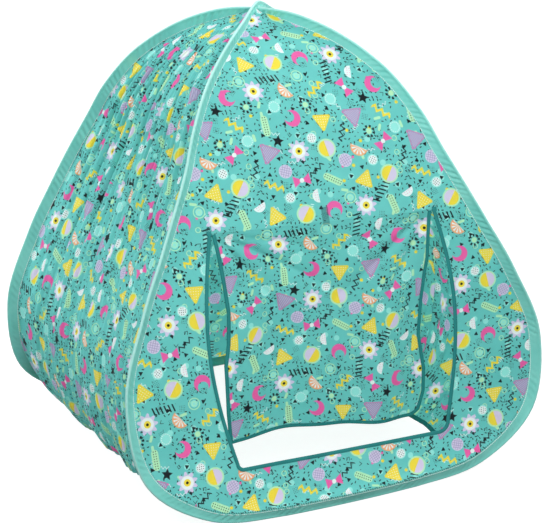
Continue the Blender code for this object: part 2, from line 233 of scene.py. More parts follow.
def settle(points):
    """Lean a point of the straight tent to where it stands."""
    points = np.asarray(points, float)
    x, y, z = points[..., 0], points[..., 1], points[..., 2]
    rise = np.clip(z / tent_height, 0.0, 1.0)
    high_turn = rise ** 1.5
    turned = turn_share * (4.0 * high_turn * (1.0 - high_turn)) ** 2 - top_turn_share * rise ** 12
    tilted = tilt_share * (x / lobe_half_width) * np.tanh(tilt_quickness * y / half_depth)
    behind = np.clip(np.sin(2.0 * np.arctan2(y, x)), 0.0, 1.0) * (x > 0.0)
    away = np.clip(np.hypot(x, y) / droop_reach, 0.0, 1.0)
    high = np.clip((rise - droop_low_share) / (droop_full_share - droop_low_share), 0.0, 1.0)
    droop = crossing_droop * behind * high * np.clip(np.sin(math.pi * away), 0.0, 1.0) ** 1.5
    return np.stack([x - side_slide * y / half_depth, y - x * turned, z * (1.0 + tilted) - droop], axis=-1)


def half_turn(points):
    return np.asarray(points) * np.array([-1.0, -1.0, 1.0])


def at_back(points):
    return settle(half_turn(points))


def smooth_through(table, before, after):
    """Points on a smooth curve through the rows of a table, closer together beside the apex."""
    rows = np.vstack([before, table, after])
    last = len(rows) - 3
    curve = []
    for i in range(1, last + 1):
        a, b, c, d = rows[i - 1:i + 3]
        steps = apex_steps if i in (1, last) else steps_per_share
        for step in range(steps):
            t = step / steps
            curve.append(0.5 * (2 * b + (c - a) * t + (2 * a - 5 * b + 4 * c - d) * t ** 2
                                + (3 * b - a - 3 * c + d) * t ** 3))
    curve.append(rows[-2])
    return np.array(curve)


def run_along(points):
    """How far along a row of points each one is."""
    return np.concatenate([[0.0], np.cumsum(np.linalg.norm(np.diff(points, axis=0), axis=1))])


shares = np.array(edge_shares)
right_side = shares * np.array([lobe_half_width, -half_depth, tent_height, 1.0, -1.0, 1.0])
edge_table = np.vstack([right_side * np.array([-1.0, 1.0, 1.0, -1.0, 1.0, 1.0]), right_side[-2::-1]])
crossed = np.array([-1.0, -1.0, 1.0, -1.0, -1.0, 1.0])
edge_curve = smooth_through(edge_table, edge_table[1] * crossed, edge_table[-2] * crossed)
edge, edge_out = edge_curve[:, :3], edge_curve[:, 3:]
station_count = len(edge)
ground_station = station_count // 2
edge_runs = run_along(edge)
near_left = eased(1.0 - edge_runs / crossing_reach)
near_right = eased(1.0 - (edge_runs[-1] - edge_runs) / crossing_reach)
edge[:, 2] += crossing_lift * near_left - crossing_dip * near_right
edge[:, 2] = np.maximum(edge[:, 2], 0.0)
edge_around = np.vstack([edge[1] * crossed[:3], edge, edge[-2] * crossed[:3]])
edge_run = unit(edge_around[2:] - edge_around[:-2])
edge_out = unit(edge_out - (edge_out * edge_run).sum(1, keepdims=True) * edge_run)
edge_across = np.cross(edge_run, edge_out)


def linear(red, green, blue):
    """A colour as the shader wants it, from the 0 to 255 values that a screen shows."""
    shares = [v / 255 for v in (red, green, blue)]
    return tuple(v / 12.92 if v <= 0.04045 else ((v + 0.055) / 1.055) ** 2.4 for v in shares) + (1.0,)


def tint(tree, under, over, share):
    """One colour laid over another."""
    node = tree.nodes.new("ShaderNodeMix")
    node.data_type = "RGBA"
    for index, value in ((0, share), (6, under), (7, over)):
        feed(tree, node.inputs[index], value)
    return node.outputs[2]


steel_grey = linear(150, 156, 163)
steel_blue = linear(96, 108, 126)
drawn_steel, steel_tree, steel_shader = new_finish("drawn_steel", 0.32)
steel_place = steel_tree.nodes.new("ShaderNodeTexCoord").outputs["Object"]
heat_tint = add_node(steel_tree, "ShaderNodeTexNoise", Vector=steel_place, Scale=9.0, Detail=3.0)
scratches = add_node(steel_tree, "ShaderNodeTexNoise", Vector=steel_place, Scale=900.0, Detail=2.0)
scratch_gloss = calc(steel_tree, "MULTIPLY_ADD", scratches.outputs["Fac"], 0.25, 0.22)
set_up(steel_tree, steel_shader, Metallic=1.0, Roughness=scratch_gloss,
       Base_Color=tint(steel_tree, steel_grey, steel_blue, heat_tint.outputs["Fac"]))
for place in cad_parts["wire_ferrule"].material_slots:
    place.link = "OBJECT"
    place.material = drawn_steel


def line_piece(name, lines, tree, sizes, material):
    """A piece that Geometry Nodes make along some lines of points."""
    mesh = bpy.data.meshes.new(name)
    points, joins = [], []
    for line in lines:
        first = len(points)
        points += [tuple(p) for p in line]
        joins += [(i, i + 1) for i in range(first, len(points) - 1)]
    mesh.from_pydata(points, joins, [])
    piece = placed(name, mesh)
    nodes = piece.modifiers.new(name, "NODES")
    nodes.node_group = tree
    sockets = {s.name: s.identifier for s in tree.interface.items_tree if s.in_out == "INPUT"}
    for label, size in sizes.items():
        nodes[sockets[label]] = size
    finished(piece)
    if not piece.data.materials:
        piece.data.materials.append(material)
    piece.data.shade_smooth()
    return piece


def finished(piece):
    """Turn a piece and its modifiers into one plain mesh."""
    bpy.context.view_layer.update()
    graph = bpy.context.evaluated_depsgraph_get()
    mesh = bpy.data.meshes.new_from_object(
        piece.evaluated_get(graph), preserve_all_data_layers=True, depsgraph=graph)
    piece.modifiers.clear()
    piece.data = mesh
    mesh.name = piece.name
    mesh.set_sharp_from_angle(angle=math.radians(70))
    return piece


def new_tree(name, *sizes):
    """A tree of Geometry Nodes that works on a line, and its given and given back nodes."""
    tree = bpy.data.node_groups.new(name, "GeometryNodeTree")
    tree.interface.new_socket("Line", in_out="INPUT", socket_type="NodeSocketGeometry")
    for label in sizes:
        tree.interface.new_socket(label, in_out="INPUT", socket_type="NodeSocketFloat")
    tree.interface.new_socket("Piece", in_out="OUTPUT", socket_type="NodeSocketGeometry")
    return tree, tree.nodes.new("NodeGroupInput"), tree.nodes.new("NodeGroupOutput")


def close_tree(tree, made, material, given_back):
    real = add_node(tree, "GeometryNodeRealizeInstances", Geometry=made)
    dyed = add_node(tree, "GeometryNodeSetMaterial", Geometry=real.outputs["Geometry"], Material=material)
    tree.links.new(dyed.outputs["Geometry"], given_back.inputs["Piece"])


wire_tree, wire_given, wire_given_back = new_tree("drawn_wire", "Radius")
wire_line = add_node(wire_tree, "GeometryNodeMeshToCurve", Mesh=wire_given.outputs["Line"])
wire_round = add_node(wire_tree, "GeometryNodeCurvePrimitiveCircle", Resolution=10,
                      Radius=wire_given.outputs["Radius"])
wire_made = add_node(wire_tree, "GeometryNodeCurveToMesh", Curve=wire_line.outputs["Curve"],
                     Profile_Curve=wire_round.outputs["Curve"], Fill_Caps=True)
close_tree(wire_tree, wire_made.outputs["Mesh"], drawn_steel, wire_given_back)
for side, place in (("front", settle), ("back", at_back)):
    axis = place(edge - edge_out * wire_inset)
    wire = line_piece(side + "_hoop", [axis], wire_tree, {"Radius": wire_radius}, drawn_steel)
    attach(wire, side + "_frame")
    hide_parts(side + "_wire")

# The sleeve: a strip of pale polyester folded round the hoop, with its two lips sewn over the
# edges of the panels and gussets. It is one loop, which crosses over itself at the apex.
sleeve_width = 0.027
crossing_width = 0.0115
pocket_radius = 0.0031
ferrule_swell = 0.0017
ferrule_reach = 0.024
lip_stand = 0.0012
lip_beyond_seam = 0.0012
sleeve_thickness = 0.0005
throat_room = 0.0016
pucker_depth = 0.0031
pucker_length = 0.0150
loop_fineness = 4
seam_margin = 0.0030
narrow_foot = 0.0030
narrow_foot_row = 10.3
narrow_foot_reach = 0.16
sleeve_teal = linear(146, 228, 217)
sleeve_deep = linear(104, 206, 195)
# A painted highlight along the sleeve's outer fold round the wire: its colour, and how far from the fold it
# reaches
sleeve_painted_highlight = linear(206, 248, 242)
painted_highlight_reach = 0.0048
edge_width = sleeve_width + (crossing_width - sleeve_width) * np.maximum(near_left, near_right)
from_foot = edge_runs - edge_runs[apex_steps + round((narrow_foot_row - 1) * steps_per_share)]
edge_width -= narrow_foot * np.exp(-(from_foot / narrow_foot_reach) ** 2)
edge_width -= seam_margin * (1.0 - np.maximum(near_left, near_right))
seam = edge - edge_out * edge_width[:, None]


def cloth_mesh(name, rows, flat, material, ring=False):
    """Cloth through rows of points. flat is where each point was on the cloth before it was sewn."""
    rows = np.asarray(rows, float)
    tall, wide = rows.shape[:2]
    mesh = bpy.data.meshes.new(name)
    count = tall if ring else tall - 1
    faces, uvs = [], []
    for i in range(count):
        for j in range(wide - 1):
            below = (i + 1) % tall
            faces.append((i * wide + j, below * wide + j, below * wide + j + 1, i * wide + j + 1))
            uvs += [flat[i][j], flat[i + 1][j], flat[i + 1][j + 1], flat[i][j + 1]]
    mesh.from_pydata(rows.reshape(-1, 3).tolist(), [], faces)
    layer = mesh.uv_layers.new(name="cloth")
    layer.data.foreach_set("uv", np.array(uvs, np.float32).ravel())
    mesh.materials.append(material)
    mesh.shade_smooth()
    return placed(name, mesh)


def thicken(piece, thickness):
    solid = piece.modifiers.new("cloth", "SOLIDIFY")
    solid.thickness = thickness
    solid.offset = 0.0
    return piece


def sewn_cloth(name, rows, flat, material, thickness, ring=False):
    """A piece of cloth or tape with its thickness, as one plain mesh."""
    return finished(thicken(cloth_mesh(name, rows, flat, material, ring), thickness))


def let_light_through(tree, shader, colour, share, between=0.0):
    """Thin cloth sends a share of the light that falls on it on to its other side, dyed by the
    cloth except for what passes between its threads."""
    through = add_node(tree, "ShaderNodeBsdfTranslucent", Color=tint(tree, colour, white, between))
    parted = tree.nodes.new("ShaderNodeMixShader")
    parted.inputs[0].default_value = share
    tree.links.new(shader.outputs[0], parted.inputs[1])
    tree.links.new(through.outputs[0], parted.inputs[2])
    tree.links.new(parted.outputs[0], tree.nodes["Material Output"].inputs["Surface"])


def dyed_cloth(name, colour, deep_colour, roughness, twill, through, shine=0.25, rim=None):
    """Cloth dyed in one colour: a fine diagonal twill, and dye that took a little unevenly. Given
    rim, it has a painted highlight of that colour along its middle, where the light catches the fold."""
    finish, tree, shader = new_finish(name, roughness)
    flat = tree.nodes.new("ShaderNodeUVMap")
    flat.uv_map = "cloth"
    ways = add_node(tree, "ShaderNodeSeparateXYZ", Vector=flat.outputs["UV"])
    slant = calc(tree, "ADD", ways.outputs["X"], ways.outputs["Y"])
    rib = calc(tree, "SINE", calc(tree, "MULTIPLY", slant, 2 * math.pi / twill))
    place = tree.nodes.new("ShaderNodeTexCoord").outputs["Object"]
    uneven = add_node(tree, "ShaderNodeTexNoise", Vector=place, Scale=24.0, Detail=4.0)
    deep = calc(tree, "MULTIPLY_ADD", rib, 0.10, uneven.outputs["Fac"], clamp=True)
    dye = tint(tree, colour, deep_colour, deep)
    # A painted highlight: lighter towards the middle of the strip, where the light catches the fold
    if rim:
        from_fold = calc(tree, "ABSOLUTE", ways.outputs["Y"])
        highlight_share = calc(tree, "MULTIPLY_ADD", from_fold, -1.0 / painted_highlight_reach, 1.0, clamp=True)
        dye = tint(tree, dye, rim, calc(tree, "MULTIPLY", highlight_share, 0.8))
    let_light_through(tree, shader, dye, through)
    rough = calc(tree, "MULTIPLY_ADD", uneven.outputs["Fac"], 0.2, roughness - 0.1)
    weave = add_node(tree, "ShaderNodeBump", Height=rib, Strength=0.25, Distance=0.0001)
    set_up(tree, shader, Base_Color=dye, Roughness=rough, Normal=weave.outputs["Normal"],
           Sheen_Weight=shine, Sheen_Roughness=0.4)
    return finish


sleeve_cloth = dyed_cloth("sleeve_satin", sleeve_teal, sleeve_deep, 0.5, 0.0016, 0.15, rim=sleeve_painted_highlight)


def round_the_loop(front, back):
    """Something of the front lobe and then of the back one, at close steps all round the loop."""
    whole = np.vstack([front, back[-2::-1]])
    steps = np.arange(0.0, len(whole) - 1, 1.0 / loop_fineness)
    return np.stack([np.interp(steps, np.arange(len(whole)), column) for column in whole.T], axis=1)


loop = round_the_loop(edge, half_turn(edge))
loop_out = unit(round_the_loop(edge_out, half_turn(edge_out)))
loop_across = unit(round_the_loop(edge_across, -half_turn(edge_across)))
loop_width = round_the_loop(edge_width[:, None], edge_width[:, None])[:, 0]
loop_runs = run_along(np.vstack([loop, loop[:1]]))
ferrule_at = loop_runs[loop_fineness * (2 * station_count - 2 - ground_station)]


def sleeve_profile(width, along):
    """The folded strip at one place: (across, outward) points from one lip round to the other."""
    pocket = pocket_radius + ferrule_swell * eased(2.0 - abs(along - ferrule_at) / ferrule_reach)
    throat = 2 * pocket + throat_room
    lip = [(lip_stand, -width - lip_beyond_seam), (lip_stand + 0.0003, -width + 0.0008)]
    for share in (0.20, 0.45, 0.75, 1.0):
        lip.append((lip_stand + 0.0002 * share, -width + share * (width - throat)))
    half = lip + [(pocket * math.sin(turn), pocket * (math.cos(turn) - 1.0))
                  for turn in np.radians((135, 100, 66, 33))]
    whole = half + [(0.0, 0.0)] + [(-across, out) for across, out in half[::-1]]
    puckered = []
    for across, out in whole:
        inward = min(1.0, -out / sleeve_width)
        ripple = math.sin(2 * math.pi * (along + 0.9 * out) / pucker_length + 2.0 * math.sin(along * 31))
        ripple *= 0.6 + 0.4 * math.sin(along * 47 + 1.0)
        slack = eased((inward - 0.12) / 0.25) * math.sin(math.pi * min(1.0, inward * 1.1))
        puckered.append((across + pucker_depth * ripple * slack, out))
    return puckered


sleeve_rows, sleeve_flat = [], []
for i, (width, along) in enumerate(zip(loop_width, loop_runs)):
    profile = sleeve_profile(width, along)
    sleeve_rows.append([loop[i] + a * loop_across[i] + o * loop_out[i] for a, o in profile])
    around = run_along(np.array(profile))
    sleeve_flat.append([(along, v - around[-1] / 2) for v in around])
sleeve_flat.append([(loop_runs[-1], v) for _, v in sleeve_flat[0]])
sleeve_rows = settle(np.array(sleeve_rows))
sleeve_rows[..., 2] = np.maximum(sleeve_rows[..., 2], sleeve_thickness)
sleeve = sewn_cloth("sleeve_loop", sleeve_rows, sleeve_flat, sleeve_cloth, sleeve_thickness, ring=True)
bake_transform(sleeve)
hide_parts("front_sleeve", "back_sleeve")

# The stitching: a line of pale thread along both faces of the sleeve, close to its inner edge,
# that holds the lips, the panels and the gussets together. Near white and thick, it is also a
# painted highlight on the ridge of the seam. A line of dark stitches just beyond the edge is partly
# stitching and partly painted shade, for the shadow in the groove beside the seam.
# Partly a painted highlight: the pale thread is near white and its stitches are wide
thread_pale = linear(238, 254, 250)
thread_dark = linear(20, 84, 88)
seam_pitch = 0.0044
seam_stitch = 0.0042
seam_thread = 0.0017
seam_stand = lip_stand + 0.0004
stitch_from_edge = 0.0008
# Partly painted shade: the dark stitches beyond the edge darken the groove between the lips and the cloth
shade_stitch_pitch = 0.0050
shade_stitch_length = 0.0024
shade_stitch_width = 0.0012
shade_stitch_stand = 0.0009
shade_stitch_beyond_edge = 0.0024


def thread_finish(name, colour):
    """Twisted sewing thread."""
    finish, tree, shader = new_finish(name, 0.5)
    place = tree.nodes.new("ShaderNodeTexCoord").outputs["Object"]
    twist = add_node(tree, "ShaderNodeTexNoise", Vector=place, Scale=700.0, Detail=1.0)
    shade = calc(tree, "MULTIPLY", twist.outputs["Fac"], 0.5)
    darker = tuple(0.6 * v for v in colour[:3]) + (1.0,)
    tree.links.new(tint(tree, colour, darker, shade), shader.inputs["Base Color"])
    return finish


def stitch_tree(name, thread):
    """Geometry nodes that lay stitches of thread along a line."""
    tree, given, given_back = new_tree(name, "Pitch", "Stitch Length", "Thread Width")
    line = add_node(tree, "GeometryNodeMeshToCurve", Mesh=given.outputs["Line"])
    spread = tree.nodes.new("GeometryNodeCurveToPoints")
    spread.mode = "LENGTH"
    tree.links.new(line.outputs["Curve"], spread.inputs["Curve"])
    tree.links.new(given.outputs["Pitch"], spread.inputs["Length"])
    aim = tree.nodes.new("FunctionNodeAlignRotationToVector")
    aim.axis = "Z"
    tree.links.new(spread.outputs["Tangent"], aim.inputs["Vector"])
    grain = add_node(tree, "GeometryNodeMeshUVSphere", Segments=6, Rings=4, Radius=0.5)
    size = add_node(tree, "ShaderNodeCombineXYZ", X=given.outputs["Thread Width"],
                    Y=given.outputs["Thread Width"], Z=given.outputs["Stitch Length"])
    laid = add_node(tree, "GeometryNodeInstanceOnPoints", Points=spread.outputs["Points"],
                    Instance=grain.outputs["Mesh"], Rotation=aim.outputs["Rotation"],
                    Scale=size.outputs["Vector"])
    close_tree(tree, laid.outputs["Instances"], thread, given_back)
    return tree


def sew(name, lines, tree, thread, pitch, length, width):
    """Stitches along some lines of points, as one piece."""
    sizes = {"Pitch": pitch, "Stitch Length": length, "Thread Width": width}
    return line_piece(name, lines, tree, sizes, thread)


pale_thread = thread_finish("pale_thread", thread_pale)
dark_thread = thread_finish("dark_thread", thread_dark)
pale_stitches = stitch_tree("pale_stitches", pale_thread)
dark_stitches = stitch_tree("dark_stitches", dark_thread)


def lines_by_sleeve(from_edge, stand):
    """A line along each face of the sleeve, a way in from its inner edge or beyond it."""
    lines = []
    for side in (-1.0, 1.0):
        line = loop - loop_out * (loop_width - from_edge)[:, None] + side * stand * loop_across
        lines.append(settle(np.vstack([line, line[:1]])))
    return lines


sleeve_seam = sew("sleeve_seam", lines_by_sleeve(stitch_from_edge, seam_stand), pale_stitches,
                  pale_thread, seam_pitch, seam_stitch, seam_thread)
stitches_and_painted_shade = sew("stitches_and_painted_shade", lines_by_sleeve(-shade_stitch_beyond_edge, shade_stitch_stand), dark_stitches,
                dark_thread, shade_stitch_pitch, shade_stitch_length, shade_stitch_width)
for seam_piece in (sleeve_seam, stitches_and_painted_shade):
    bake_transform(seam_piece)

# The printed cloth: thin polyester in teal, with a repeat of small shapes in black, white, mint,
# yellow, pink and lilac on both faces. The print is laid out in millimetres on the flat cloth.
repeat = 320.0
print_through = 0.50
between_threads = 0.22
print_teal = linear(141, 229, 225)
print_teal_deep = linear(117, 214, 210)
# The colour and share of the painted shadow of the tab on the front panel
print_in_shade = linear(30, 120, 120)
tab_shade = 0.45
thread_gap = 0.7
ink = {
    "black": linear(2, 22, 30),
    "white": linear(248, 254, 254),
    "lilac": linear(190, 180, 212),
    "pale_lilac": linear(234, 226, 246),
    "pink": linear(250, 122, 196),
    "yellow": linear(252, 236, 84),
    "mint": linear(208, 248, 214),
    "sea": linear(176, 244, 238),
    "orange": linear(252, 194, 146),
}


def printed_cloth(name):
    finish, tree, shader = new_finish(name, 0.7)
    flat = tree.nodes.new("ShaderNodeUVMap")
    flat.uv_map = "cloth"

    def vector(operation, *values, scale=1.0):
        """A sum of places on the cloth."""
        node = tree.nodes.new("ShaderNodeVectorMath")
        node.operation = operation
        for socket, value in zip(node.inputs, values):
            feed(tree, socket, value)
        if operation == "SCALE":
            node.inputs["Scale"].default_value = scale
        return node.outputs["Value" if operation == "DOT_PRODUCT" else "Vector"]

    def c(operation, *values, clamp=False):
        return calc(tree, operation, *values, clamp=clamp)

    def hypotenuse(a, b):
        return c("SQRT", c("ADD", c("MULTIPLY", a, a), c("MULTIPLY", b, b)))

    in_mm = vector("SCALE", flat.outputs["UV"], scale=1000.0)

    def screen(cells, shift, seed, wander, order=None):
        """A grid of places to print at: where a point lies from the middle of its own place. Each
        place picks what is printed there by chance, or in a set order that uses all alike."""
        cell = repeat / cells
        scaled = vector("MULTIPLY_ADD", in_mm, (1 / cell,) * 3, (shift, shift, 0.0))
        corner = vector("FLOOR", scaled)
        again = vector("WRAP", corner, (float(cells),) * 3, (0.0,) * 3)
        moved = vector("ADD", again, (seed, seed * 0.7, seed * 1.3))
        chance = add_node(tree, "ShaderNodeTexWhiteNoise", Vector=moved)
        inside = vector("SUBTRACT", vector("SUBTRACT", scaled, corner), (0.5, 0.5, 0.0))
        stray = vector("MULTIPLY_ADD", chance.outputs["Color"], (wander, wander, 0.0),
                       (-wander / 2, -wander / 2, 0.0))
        from_middle = vector("SCALE", vector("SUBTRACT", inside, stray), scale=cell)
        parts = add_node(tree, "ShaderNodeSeparateColor", Color=chance.outputs["Color"])
        spun = tree.nodes.new("ShaderNodeVectorRotate")
        spun.rotation_type = "Z_AXIS"
        feed(tree, spun.inputs["Vector"], from_middle)
        feed(tree, spun.inputs["Angle"], c("MULTIPLY", parts.outputs["Blue"], 2 * math.pi))
        place = add_node(tree, "ShaderNodeSeparateXYZ", Vector=spun.outputs["Vector"])
        x, y = place.outputs["X"], place.outputs["Y"]
        pick = chance.outputs["Value"]
        if order:
            numbered = vector("DOT_PRODUCT", again, order)
            places = float(cells * cells)
            pick = c("DIVIDE", c("FLOORED_MODULO", c("ADD", numbered, 0.5), places), places)
        return {"x": x, "y": y, "r": hypotenuse(x, y), "turn": c("ARCTAN2", y, x), "pick": pick}

    def within(distance, limit):
        """1 where a distance is under its limit, with an edge a quarter of a millimetre soft."""
        return c("MULTIPLY", c("SUBTRACT", limit, distance), 4.0, clamp=True)

    def band(value, half):
        """1 where a value lies no further than this from 0, on either side."""
        return within(c("ABSOLUTE", value), half)

    def both(a, b):
        return c("MULTIPLY", a, b)

    def disc(grid, size):
        return within(grid["r"], size)

    def from_middle_of(value, step):
        """How far a value is from the middle of the equal step that it lies in."""
        return c("SUBTRACT", c("FLOORED_MODULO", value, step), step / 2)

    def folded(grid, sides):
        """The turn from the middle of the nearest of several equal slices."""
        return from_middle_of(grid["turn"], 2 * math.pi / sides)

    def triangle(grid, size):
        flats = c("MULTIPLY", grid["r"], c("COSINE", folded(grid, 3)))
        return within(c("MAXIMUM", flats, c("MULTIPLY", grid["r"], 0.58)), size)

    def star(grid, size):
        from_tip = c("ABSOLUTE", folded(grid, 5))
        slope = c("MULTIPLY_ADD", c("SINE", from_tip), 2.3, c("COSINE", from_tip))
        return within(c("MULTIPLY", grid["r"], slope), size)

    def petals(grid, count, size):
        wave = c("MULTIPLY_ADD", c("COSINE", c("MULTIPLY", grid["turn"], float(count))), 0.16, 0.84)
        return within(c("DIVIDE", grid["r"], wave), size)

    def ring(grid, radius, half_line):
        return band(c("SUBTRACT", grid["r"], radius), half_line)

    def pill(grid, half_length, half_line):
        beyond = c("MAXIMUM", c("SUBTRACT", c("ABSOLUTE", grid["x"]), half_length), 0.0)
        return within(hypotenuse(beyond, grid["y"]), half_line)

    def zigzag(grid, half_length, tooth, half_line):
        wave = c("SUBTRACT", c("PINGPONG", grid["x"], tooth), tooth / 2)
        line = band(c("SUBTRACT", grid["y"], c("MULTIPLY", wave, 1.3)), half_line)
        return both(line, band(grid["x"], half_length))

    def dashes(grid, half_length, step, half_tall, half_line):
        slanted = c("MULTIPLY_ADD", grid["y"], 0.3, grid["x"])
        row = both(band(from_middle_of(slanted, step), half_line), band(grid["y"], half_tall))
        return both(row, band(grid["x"], half_length))

    def spots(grid, step, size):
        return within(hypotenuse(*(from_middle_of(grid[axis], step) for axis in "xy")), size)

    def net(grid, step, half_line):
        aside, up = (c("ABSOLUTE", from_middle_of(grid[axis], step)) for axis in "xy")
        return within(c("MINIMUM", aside, up), half_line)

    def bow(grid, half_length):
        flare = c("MULTIPLY_ADD", c("ABSOLUTE", grid["x"]), -0.6, c("ABSOLUTE", grid["y"]))
        return both(within(flare, 1.2), band(grid["x"], half_length))

    def slices(grid, count):
        return c("GREATER_THAN", c("COSINE", c("MULTIPLY", grid["turn"], float(count))), 0.0)

    uneven = add_node(tree, "ShaderNodeTexNoise", Vector=in_mm, Scale=0.012, Detail=3.0)
    state = {"colour": tint(tree, print_teal, print_teal_deep, uneven.outputs["Fac"])}

    def lay(mask, colour, chosen=None):
        share = mask if chosen is None else both(mask, chosen)
        state["colour"] = tint(tree, state["colour"], ink[colour], share)

    def chosen_of(grid, low, high):
        """1 where this place of the grid drew a number between low and high."""
        middle, half = (low + high) / 2, (high - low) / 2
        return c("COMPARE", grid["pick"], middle, half)

    # Tiny ticks nearly everywhere
    ticks = screen(36, 0.0, 3.1, 0.7)
    patches = add_node(tree, "ShaderNodeTexNoise", Vector=in_mm, Scale=0.016, Detail=1.0)
    enough = c("MULTIPLY", c("SUBTRACT", patches.outputs["Fac"], 0.30), 2.6, clamp=True)
    lay(both(pill(ticks, 1.6, 1.15), c("LESS_THAN", ticks["pick"], enough)), "black")
    # Small shapes
    small = screen(13, 0.4, 7.7, 0.5)
    lay(disc(small, 6.4), "sea", chosen_of(small, 0.0, 0.16))
    lay(triangle(small, 3.0), "black", chosen_of(small, 0.10, 0.32))
    lay(zigzag(small, 9.0, 4.0, 1.1), "white", chosen_of(small, 0.32, 0.42))
    lay(dashes(small, 9.0, 4.4, 3.6, 0.9), "white", chosen_of(small, 0.42, 0.52))
    lay(both(spots(small, 3.4, 0.8), disc(small, 8.0)), "black", chosen_of(small, 0.52, 0.62))
    lay(pill(small, 5.0, 3.0), "mint", chosen_of(small, 0.62, 0.72))
    lay(zigzag(small, 4.6, 4.6, 1.0), "black", chosen_of(small, 0.72, 0.79))
    lay(disc(small, 3.6), "yellow", chosen_of(small, 0.79, 0.86))
    lay(ring(small, 5.0, 1.0), "mint", chosen_of(small, 0.86, 0.93))
    lay(disc(small, 3.0), "pink", chosen_of(small, 0.93, 0.97))
    # Middling shapes
    middling = screen(5, 0.5, 12.9, 0.22, (8.0, 15.0, 0.0))
    kinds = [chosen_of(middling, i / 9, (i + 1) / 9) for i in range(9)]
    lay(disc(middling, 12.0), "sea", kinds[0])
    lay(disc(middling, 9.5), "white", kinds[0])
    lay(both(spots(middling, 4.4, 1.1), disc(middling, 7.6)), "black", kinds[0])
    lay(ring(middling, 11.5, 1.1), "mint", kinds[1])
    lay(disc(middling, 7.6), "sea", kinds[1])
    lay(ring(middling, 4.4, 1.0), "mint", kinds[1])
    lay(star(middling, 13.0), "black", kinds[2])
    lay(zigzag(middling, 20.0, 7.0, 2.0), "black", kinds[3])
    lay(dashes(middling, 27.0, 8.6, 8.0, 1.7), "black", kinds[4])
    lay(both(ring(middling, 10.5, 2.8), slices(middling, 8)), "black", kinds[5])
    lay(disc(middling, 6.0), "mint", kinds[5])
    lay(disc(middling, 14.0), "pale_lilac", kinds[6])
    lay(both(net(middling, 4.8, 0.7), disc(middling, 12.4)), "lilac", kinds[6])
    lay(both(disc(middling, 14.0), within(middling["y"], 0.0)), "white", kinds[7])
    lay(both(spots(middling, 5.0, 0.9), both(disc(middling, 12.0), within(middling["y"], -1.0))),
        "pink", kinds[7])
    lay(disc(middling, 13.0), "sea", kinds[8])
    lay(both(ring(middling, 10.0, 1.0), slices(middling, 14)), "white", kinds[8])
    # Large shapes
    large = screen(5, 0.0, 22.9, 0.20, (7.0, 15.0, 0.0))
    kinds = [chosen_of(large, i / 9, (i + 1) / 9) for i in range(9)]
    lay(triangle(large, 12.5), "yellow", kinds[0])
    lay(both(spots(large, 5.2, 1.1), triangle(large, 10.6)), "white", kinds[0])
    off_middle = hypotenuse(c("ADD", large["x"], 8.0), large["y"])
    lay(both(disc(large, 17.5), c("SUBTRACT", 1.0, within(off_middle, 11.5))), "pink", kinds[1])
    lay(triangle(large, 14.0), "lilac", kinds[2])
    hollow = c("SUBTRACT", 1.0, triangle(large, 12.2))
    lay(both(both(triangle(large, 14.0), hollow), slices(large, 20)), "pink", kinds[2])
    lay(both(dashes(large, 20.0, 3.6, 20.0, 0.6), triangle(large, 11.0)), "pale_lilac", kinds[2])
    lay(disc(large, 20.0), "mint", kinds[3])
    lay(disc(large, 16.5), "yellow", kinds[3])
    lay(both(disc(large, 16.5), within(large["y"], 0.0)), "pale_lilac", kinds[3])
    lay(petals(large, 9, 23.0), "pale_lilac", kinds[4])
    lay(disc(large, 14.0), "white", kinds[4])
    lay(disc(large, 7.6), "yellow", kinds[4])
    lay(disc(large, 3.0), "black", kinds[4])
    lay(zigzag(large, 22.0, 8.0, 3.8), "yellow", kinds[5])
    fan = both(kinds[6], within(large["y"], 0.0))
    lay(disc(large, 19.0), "orange", fan)
    lay(both(disc(large, 16.4), slices(large, 12)), "white", fan)
    lay(pill(large, 14.0, 7.6), "mint", kinds[7])
    lay(both(spots(large, 5.0, 1.2), pill(large, 14.0, 5.6)), "black", kinds[7])
    lay(bow(large, 18.0), "pink", kinds[8])
    lay(disc(large, 5.0), "white", kinds[8])

    # Painted shade: where the tab lies behind the front panel, the thin cloth gets a painted shadow of it
    spot = add_node(tree, "ShaderNodeSeparateXYZ", Vector=in_mm)
    aside, up = (band(c("SUBTRACT", spot.outputs[axis], middle), half)
                 for axis, middle, half in tab_shadow)
    shade = c("MULTIPLY", both(aside, up), tab_shade)
    colour = tint(tree, state["colour"], print_in_shade, shade)

    let_light_through(tree, shader, colour, print_through, between_threads)
    warp, weft = (c("SINE", c("MULTIPLY", spot.outputs[axis], 2 * math.pi / thread_gap)) for axis in "XY")
    weave = add_node(tree, "ShaderNodeBump", Height=both(warp, weft), Strength=0.15, Distance=0.0001)
    rough = c("MULTIPLY_ADD", uneven.outputs["Fac"], 0.2, 0.6)
    set_up(tree, shader, Base_Color=colour, Roughness=rough, Normal=weave.outputs["Normal"],
           Specular_IOR_Level=0.3, Sheen_Weight=0.05, Sheen_Roughness=0.5)
    return finish


# The panels: the front one and the back one are sewn between the sleeve's lips all round, and
# pulled nearly flat by the hoop. The front one's door is cut on its two sides and its sill.
cloth_thickness = 0.0005
panel_bulge = 0.008
panel_columns = 84
foot_share_row = 11.0
foot_blend_share_rows = 0.5
seam_tuck = 0.0004
seam_pucker = 0.0007
seam_pucker_length = 0.017
seam_pucker_reach = 0.020
panel_wave = 0.0011
panel_wave_length = 0.16
pucker_start_reach = 0.004
wave_start_reach = 0.06
back_cut_at = (1.37, 0.21)
door_cut_reach = 0.03
door_top_height = 0.592
door_left_sill = 0.112
door_right_sill = 0.105
door_half_width = 0.2385
door_side_bow = 0.033
door_narrowing = 0.006
door_left_corner = 0.010
door_right_corner = 0.021
door_side_steps = 44
tab_aside = 0.005
tab_width = 0.015
tab_length = 0.037
tab_drop = 0.007


def station_of(share_row):
    """The station on the left side at a row of edge_shares."""
    return apex_steps + round((share_row - 1) * steps_per_share)


